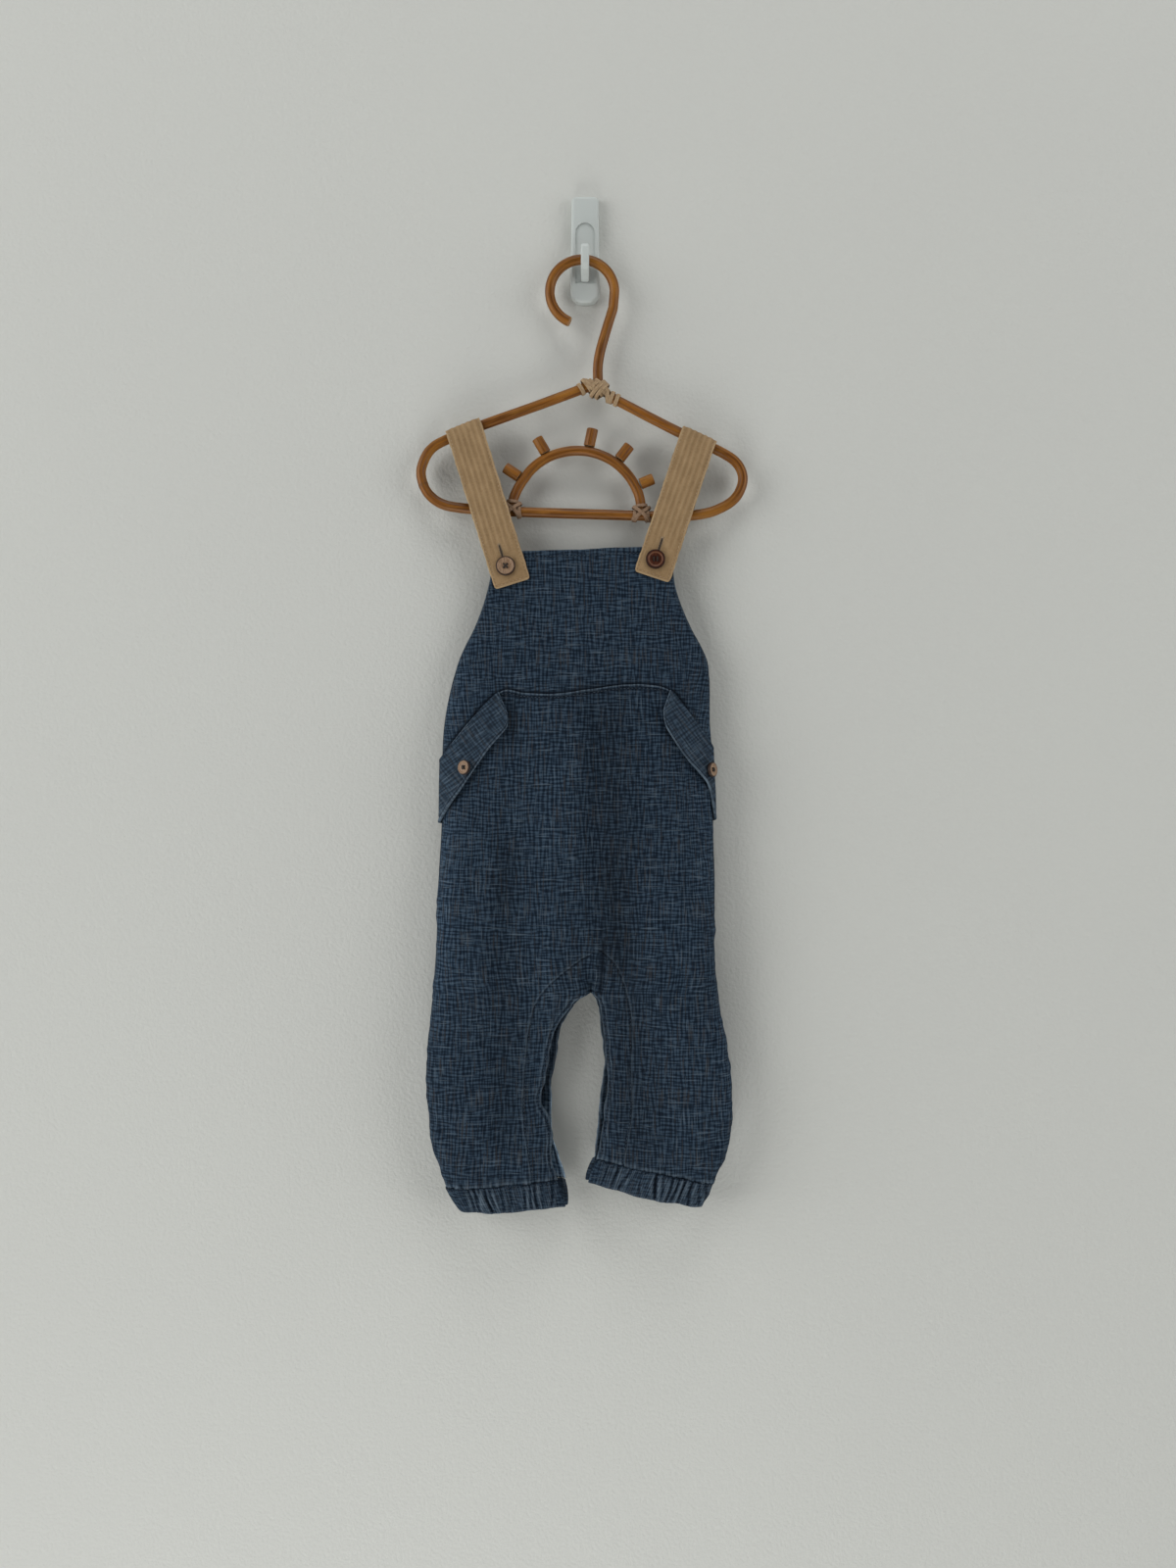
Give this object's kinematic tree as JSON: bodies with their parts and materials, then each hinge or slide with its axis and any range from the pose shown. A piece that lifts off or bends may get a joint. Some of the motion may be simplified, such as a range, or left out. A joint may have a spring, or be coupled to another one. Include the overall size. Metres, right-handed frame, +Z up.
{
  "type": "romper on a hanger and wall hook",
  "caption": "Baby's dungaree romper with button straps, pocket flaps and gathered cuffs, hung on a bent-cane hanger on a stick-on wall hook.",
  "frame": {"origin": "middle of the hook plate's back face, on the wall", "axes": "+Z up, +Y into the wall, +X to the right of someone who faces the wall"},
  "size_m": [0.2804, 0.0489, 0.8561],
  "materials": {
    "chambray": "slubby slate-blue cotton and linen weave",
    "buff_twill": "soft ribbed buff cotton",
    "coconut": "satin coconut shell",
    "dark_coconut": "polished dark coconut shell",
    "cane": "satin honey-brown cane",
    "cane_strip": "matt split cane",
    "white_plastic": "satin white moulding"
  },
  "bodies": {
    "root": {"bib_front": "chambray", "trouser_front": "chambray", "back": "chambray", "flap_left": "chambray", "flap_right": "chambray", "cuff_left": "chambray", "cuff_right": "chambray", "strap_left": "buff_twill", "strap_right": "buff_twill", "strap_button_left": "coconut", "strap_button_right": "dark_coconut", "hip_button_left": "coconut", "hip_button_right": "coconut", "hanger_crook": "cane", "hanger_frame": "cane", "hanger_sun_arc": "cane", "hanger_ray_1": "cane", "hanger_ray_2": "cane", "hanger_ray_3": "cane", "hanger_ray_4": "cane", "hanger_ray_5": "cane", "binding_neck": "cane_strip", "binding_left": "cane_strip", "binding_right": "cane_strip", "hook_plate": "white_plastic", "hook_prong": "white_plastic"}
  },
  "joints": []
}
